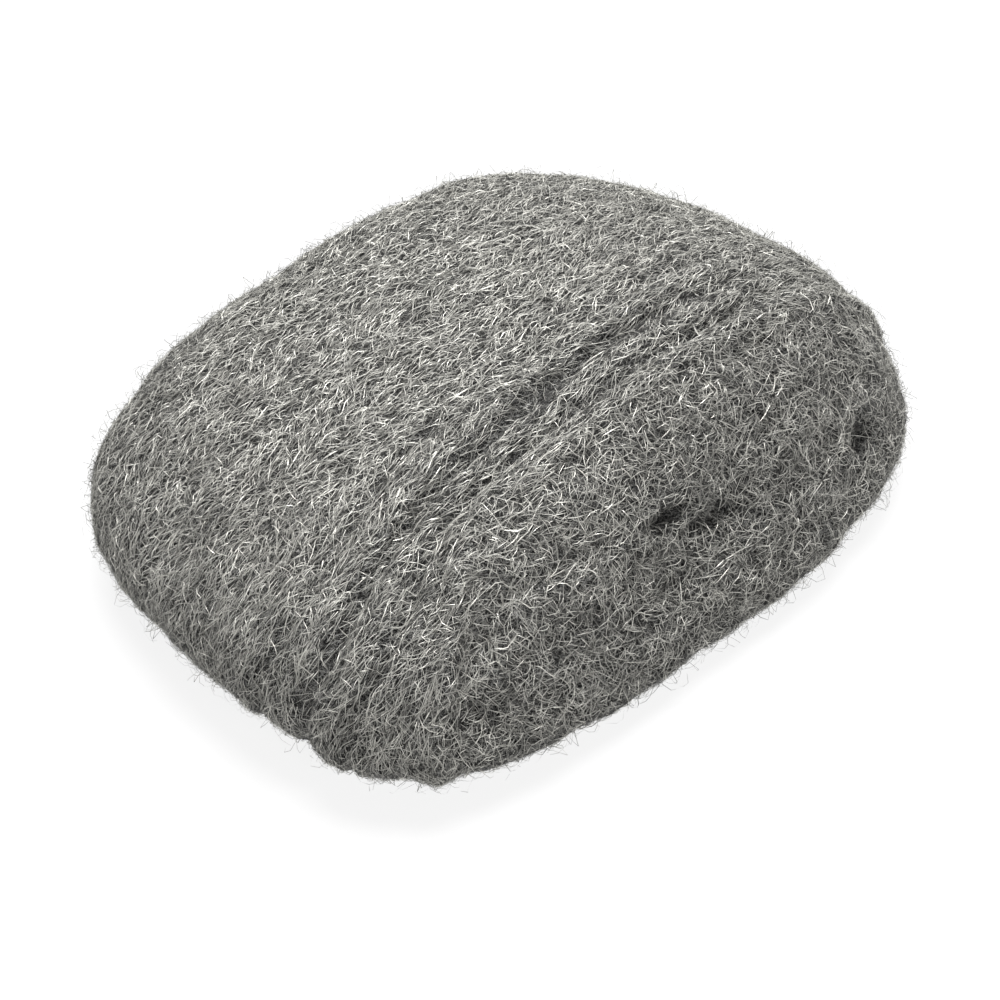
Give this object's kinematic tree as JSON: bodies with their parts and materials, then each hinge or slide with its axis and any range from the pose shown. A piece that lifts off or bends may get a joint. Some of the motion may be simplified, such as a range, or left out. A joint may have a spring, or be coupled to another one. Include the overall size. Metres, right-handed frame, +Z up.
{
  "type": "steel wool bundle",
  "caption": "Soft hand pad of coarse steel wool, one strip wound flat, for scouring and smoothing surfaces.",
  "frame": {"origin": "middle of the pad's box, at the level of the flattened underside that it rests on", "axes": "+X along the wrap, the longest side; +Y along the winding axis; +Z up, the thickness"},
  "size_m": [0.102, 0.0772, 0.0306],
  "materials": {
    "steel_wool": "dull grey tangled steel fibres"
  },
  "bodies": {
    "root": {"wound_pad": "steel_wool"}
  },
  "joints": []
}
